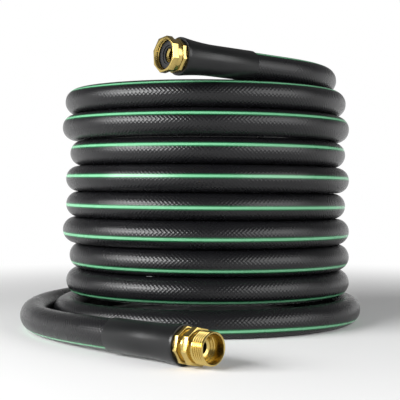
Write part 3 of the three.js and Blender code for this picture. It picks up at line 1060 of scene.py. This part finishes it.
def stripe_angle(turn):
    """Where the stripe lies at this turn, in radians above the outward side."""
    for (before, low), (after, high) in zip(STRIPE_AT_TURN, STRIPE_AT_TURN[1:]):
        if turn <= after:
            return low + (high - low) * smooth((turn - before) / (after - before))
    return STRIPE_AT_TURN[-1][1]


def ring_points(centre, along, radius, turned_by, sides):
    """Points round a section, from the line opposite the stripe on, kept above the floor."""
    out = along.cross(Vector((0, 0, 1))).normalized()
    rise = out.cross(along)
    ring = []
    for k in range(sides):
        angle = turned_by - math.pi + 2 * math.pi * k / sides
        point = centre + radius * (math.cos(angle) * out + math.sin(angle) * rise)
        point.z = max(point.z, FLOOR_CLEARANCE * MM)
        ring.append(point)
    return ring


def hose_mesh(route, turns, sides):
    """The hose's wall, with a UV map in millimetres: along the hose, and round it from the stripe."""
    travelled = [0.0]
    for here, there in zip(route, route[1:]):
        travelled.append(travelled[-1] + (there - here).length)
    vertices, faces = [], []
    for i, centre in enumerate(route):
        along = (route[min(i + 1, len(route) - 1)] - route[max(i - 1, 0)]).normalized()
        from_end = min(travelled[i], travelled[-1] - travelled[i]) / MM
        uncrimped = smooth((from_end - FERRULE_LENGTH) / CRIMP_RUNOUT)
        outer = CRIMP + (HOSE_OD / 2 - CRIMP) * uncrimped
        turned_by = stripe_angle(turns[i])
        for radius in (outer, HOSE_BORE / 2):
            vertices += ring_points(centre, along, radius * MM, turned_by, sides)
    for i in range(len(route) - 1):
        for k in range(sides):
            a, b = 2 * sides * i + k, 2 * sides * i + (k + 1) % sides
            c, d = b + 2 * sides, a + 2 * sides
            faces.append((a, d, c, b))
            faces.append((a + sides, b + sides, c + sides, d + sides))
    last = 2 * sides * (len(route) - 1)
    for k in range(sides):
        b = (k + 1) % sides
        faces.append((k, b, b + sides, k + sides))
        faces.append((last + k, last + k + sides, last + b + sides, last + b))
    mesh = bpy.data.meshes.new("hose_tube")
    mesh.from_pydata(vertices, [], faces)
    lie = mesh.uv_layers.new(name="lie")
    for polygon in mesh.polygons:
        places = [mesh.loops[loop].vertex_index for loop in polygon.loop_indices]
        wraps = {v % sides for v in places} >= {0, sides - 1}
        for loop, v in zip(polygon.loop_indices, places):
            k = v % sides
            if wraps and k == 0:
                k = sides
            around = (2 * math.pi * k / sides - math.pi) * HOSE_OD / 2
            lie.data[loop].uv = (travelled[v // (2 * sides)] / MM, around)
    return mesh


class HOSE_OT_hose(bpy.types.Operator):
    """Makes the hose from coupling to coupling"""

    bl_idname = "hose.hose"
    bl_label = "Hose"

    def execute(self, context):
        settings = context.scene.hose_cover
        route, turns = hose_route(settings.steps)
        piece = bpy.data.objects.new("hose_tube", hose_mesh(route, turns, settings.sides))
        context.scene.collection.objects.link(piece)
        pick(piece)
        bpy.ops.object.shade_smooth_by_angle(angle=HOSE_SMOOTH_ANGLE)
        piece.data.materials.append(hose_cover_material(settings))
        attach(piece, "hose")
        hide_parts("hose_coil", "hose_top_end", "hose_bottom_end")
        return {"FINISHED"}


def declare_hose(context):
    """Prints how long the hose is, and in how many rings."""
    route, _ = hose_route(context.scene.hose_cover.steps)
    length = sum((there - here).length for here, there in zip(route, route[1:]))
    print(f"hose length {length:.3f} m in {len(route)} rings")


# ---- female coupling ----


class HOSE_OT_female(bpy.types.Operator):
    """Makes the swivel nut, its washer, the tailpiece and the sleeve behind them"""

    bl_idname = "hose.female"
    bl_label = "Female coupling"

    def execute(self, context):
        settings = context.scene.hose_fittings
        brass = brass_material(settings, "turned_brass_female", FEMALE)
        rubber = moulded_material(
            "moulded_rubber_washer", settings.washer, WASHER_ROUGHNESS, WASHER_GRAIN
        )
        finish_piece(swivel_nut(settings), FEMALE, brass, "swivel_nut", "brass", "swivel_nut")
        finish_piece(nut_washer(), FEMALE, rubber, "swivel_nut", "washer", "hose_washer")
        finish_piece(female_tail(), FEMALE, brass, "hose", "brass", "female_tailpiece")
        bend_sleeve(
            "female_bend_sleeve", FEMALE_SLEEVE, FEMALE_SLEEVE_RIM, FEMALE, settings, "female_sleeve"
        )
        dress_ferrule("female_ferrule", brass)
        return {"FINISHED"}


def swivel_nut(settings):
    """Eight flats and a round waist, with a thread inside and a lip that turns on the neck."""
    nut = octagon("female_nut", NUT_FLATS, 0, NUT_FLATS_LENGTH, FEMALE_ROLL)
    waist = turned(
        "waist",
        [(0, OVERLAP), (NUT_WAIST, OVERLAP), (NUT_WAIST, NUT_BACK), (0, NUT_BACK)],
        rounding=NUT_WAIST_ROUND,
    )
    combine(nut, waist, "UNION")
    crest = NUT_BORE - THREAD_PLAY
    root = NUT_BORE + THREAD_PLAY
    mouth = root + NUT_MOUTH_FLARE
    thread_back = WASHER_FRONT - NUT_THREAD_GAP
    lip_front = NUT_BACK - NUT_LIP
    lip_bore = NECK + NECK_PLAY
    cavity = turned(
        "cavity",
        [(0, -OVERRUN), (mouth, -OVERRUN), (mouth, 0), (crest, NUT_MOUTH_DEPTH)]
        + [(crest, station) for station in thread_stations(NUT_THREAD_FRONT, thread_back)]
        + [
            (NUT_BORE, thread_back + NUT_THREAD_RELIEF),
            (NUT_BORE, lip_front),
            (lip_bore, lip_front),
            (lip_bore, NUT_BACK + OVERRUN),
            (0, NUT_BACK + OVERRUN),
        ],
        steps=settings.thread_steps,
    )
    thread_front = NUT_THREAD_FRONT - THREAD_MARGIN
    cut_thread(cavity, thread_front, thread_back, crest, root, NUT_THREAD_FADE)
    combine(nut, cavity, "DIFFERENCE")
    return nut


def nut_washer():
    """A rubber ring with a step down to its bore."""
    step = WASHER_FRONT + WASHER_STEP_DROP
    return turned(
        "nut_washer",
        [
            (WASHER_BORE, step),
            (WASHER_STEP, step),
            (WASHER_STEP, WASHER_FRONT),
            (SEAT, WASHER_FRONT),
            (SEAT, WASHER_BACK),
            (WASHER_BORE, WASHER_BACK),
        ],
        rounding=EDGE_ROUND,
    )


def female_tail():
    """The flange that holds the nut, the neck, the collar and the stem inside the hose."""
    front, back = FEMALE_COLLAR
    tail = octagon("female_tail", COLLAR_FLATS, front, back, FEMALE_ROLL)
    body = turned(
        "body",
        [
            (0, FLANGE_FRONT),
            (SEAT, FLANGE_FRONT),
            (SEAT, FLANGE_BACK),
            (NECK, FLANGE_BACK),
            (NECK, back - OVERLAP),
        ]
        + stem_outline(back),
        rounding=BODY_ROUND,
    )
    combine(tail, body, "UNION")
    end = back + STEM_LENGTH
    flare = STEM_BORE + WATERWAY_FLARE
    bore = turned(
        "bore",
        [
            (0, FLANGE_FRONT - OVERRUN),
            (flare, FLANGE_FRONT - OVERRUN),
            (flare, FLANGE_FRONT),
            (STEM_BORE, FLANGE_FRONT + WATERWAY_FLARE),
            (STEM_BORE, end + OVERRUN),
            (0, end + OVERRUN),
        ],
    )
    combine(tail, bore, "DIFFERENCE")
    return tail


# ---- pieces of both couplings ----


def stem_outline(collar_back):
    """The stem from inside the collar back to its end on the axis."""
    end = collar_back + STEM_LENGTH
    return [(STEM, collar_back - OVERLAP), (STEM, end), (0, end)]


def bend_sleeve(name, front, rim, placing, settings, node):
    """The bend-restricting sleeve: thin over the hose, swelling to a rim against the collar."""
    back = front + SLEEVE_LENGTH
    shoulder_front = front + SLEEVE_RIM_LENGTH
    step = front + FERRULE_LENGTH
    shoulder = []
    for i in range(1, SHOULDER_STEPS + 1):
        share = i / SHOULDER_STEPS
        swell = (rim - SLEEVE_THIN) * (1 - share) ** SHOULDER_CURVE
        shoulder.append((SLEEVE_THIN + swell, shoulder_front + share * SLEEVE_SHOULDER_LENGTH))
    sleeve = turned(
        name,
        [(SLEEVE_MOUTH, front)]
        + [(rim - inset, front + along) for inset, along in SLEEVE_RIM_EDGE]
        + [(rim, shoulder_front)]
        + shoulder
        + [(SLEEVE_THIN - inset, back - along) for inset, along in SLEEVE_BACK_EDGE]
        + [(SLEEVE_HOSE, back), (SLEEVE_HOSE, step + SLEEVE_STEP_LENGTH), (SLEEVE_MOUTH, step)],
    )
    rubber = moulded_material(
        "moulded_rubber_" + node, settings.sleeve, SLEEVE_ROUGHNESS, SLEEVE_GRAIN
    )
    finish_piece(sleeve, placing, rubber, "hose", "sleeve", node)


def dress_ferrule(node, brass):
    """Gives the frame's own ferrule, hidden in its sleeve, the coupling's brass."""
    materials = frame["nodes"][node].data.materials
    materials.clear()
    materials.append(brass)


# ---- male coupling ----


class HOSE_OT_male(bpy.types.Operator):
    """Makes the threaded male coupling and the sleeve behind it"""

    bl_idname = "hose.male"
    bl_label = "Male coupling"

    def execute(self, context):
        settings = context.scene.hose_fittings
        brass = brass_material(settings, "turned_brass_male", MALE)
        finish_piece(male_end(settings), MALE, brass, "hose", "brass", "male_coupling")
        bend_sleeve(
            "male_bend_sleeve", MALE_SLEEVE, MALE_SLEEVE_RIM, MALE, settings, "male_sleeve"
        )
        dress_ferrule("male_ferrule", brass)
        return {"FINISHED"}


def male_end(settings):
    """The threaded barrel, both collars, the waist between them and the stem inside the hose."""
    end = octagon("male_end", COLLAR_FLATS, *WRENCH_COLLAR, MALE_ROLL)
    collar = octagon("collar", COLLAR_FLATS, *MALE_COLLAR, MALE_ROLL)
    combine(end, collar, "UNION")
    wrench_front = WRENCH_COLLAR[0]
    collar_back = MALE_COLLAR[1]
    waist = turned(
        "waist",
        [
            (0, wrench_front + OVERLAP),
            (WAIST, wrench_front + OVERLAP),
            (WAIST, collar_back - OVERLAP),
        ]
        + stem_outline(collar_back),
        rounding=BODY_ROUND,
    )
    combine(end, waist, "UNION")
    root = THREAD - THREAD_DEPTH
    thread_back = THREAD_LENGTH - THREAD_STOP
    barrel_back = wrench_front + 2 * OVERLAP
    barrel = turned(
        "barrel",
        [(0, 0), (THREAD - THREAD_CHAMFER, 0)]
        + [(THREAD, station) for station in thread_stations(THREAD_CHAMFER, thread_back)]
        + [(root, THREAD_LENGTH + THREAD_CHAMFER), (root, barrel_back), (0, barrel_back)],
        steps=settings.thread_steps,
    )
    cut_front = THREAD_CHAMFER - THREAD_MARGIN
    cut_back = thread_back + THREAD_MARGIN
    cut_thread(barrel, cut_front, cut_back, THREAD, root, THREAD_FADE)
    combine(end, barrel, "UNION")
    stem_back = collar_back + STEM_LENGTH
    mouth = RECESS + RECESS_CHAMFER
    water_way = turned(
        "water_way",
        [
            (0, -OVERRUN),
            (mouth, -OVERRUN),
            (mouth, 0),
            (RECESS, RECESS_CHAMFER),
            (RECESS, RECESS_DEPTH - RECESS_CHAMFER),
            (RECESS - RECESS_CHAMFER, RECESS_DEPTH),
            (STEP + STEP_CHAMFER, RECESS_DEPTH),
            (STEP, RECESS_DEPTH + STEP_CHAMFER),
            (STEP, STEP_DEPTH - STEP_CHAMFER),
            (STEP - STEP_CHAMFER, STEP_DEPTH),
            ((STEP + STEM_BORE) / 2, STEP_DEPTH),
            (STEM_BORE, FUNNEL_DEPTH),
            (STEM_BORE, stem_back + OVERRUN),
            (0, stem_back + OVERRUN),
        ],
        steps=settings.thread_steps,
    )
    combine(end, water_way, "DIFFERENCE")
    return end


# ---- panel and registration ----


class HOSE_PT_panel(bpy.types.Panel):
    """Lists the hose's operators and settings"""

    bl_label = "Garden hose"
    bl_idname = "HOSE_PT_panel"
    bl_space_type = "VIEW_3D"
    bl_region_type = "UI"
    bl_category = "Hose"

    def draw(self, context):
        for operator in OPERATORS:
            self.layout.operator(operator.bl_idname)
        scene = context.scene
        for group in (scene.hose_cover, scene.hose_fittings, scene.hose_stage):
            for key in group.bl_rna.properties.keys():
                if key not in ("rna_type", "name"):
                    self.layout.prop(group, key)


OPERATORS = (HOSE_OT_stage, HOSE_OT_hose, HOSE_OT_female, HOSE_OT_male)
CLASSES = (HoseSettings, FittingSettings, StageSettings, *OPERATORS, HOSE_PT_panel)


def register():
    for cls in CLASSES:
        bpy.utils.register_class(cls)
    bpy.types.Scene.hose_cover = PointerProperty(type=HoseSettings)
    bpy.types.Scene.hose_fittings = PointerProperty(type=FittingSettings)
    bpy.types.Scene.hose_stage = PointerProperty(type=StageSettings)


def unregister():
    del bpy.types.Scene.hose_stage
    del bpy.types.Scene.hose_fittings
    del bpy.types.Scene.hose_cover
    for cls in reversed(CLASSES):
        bpy.utils.unregister_class(cls)


def main():
    """Builds everything."""
    register()
    bpy.ops.hose.stage()
    bpy.ops.hose.hose()
    bpy.ops.hose.female()
    bpy.ops.hose.male()
    declare_hose(bpy.context)


if __name__ == "__main__":
    main()
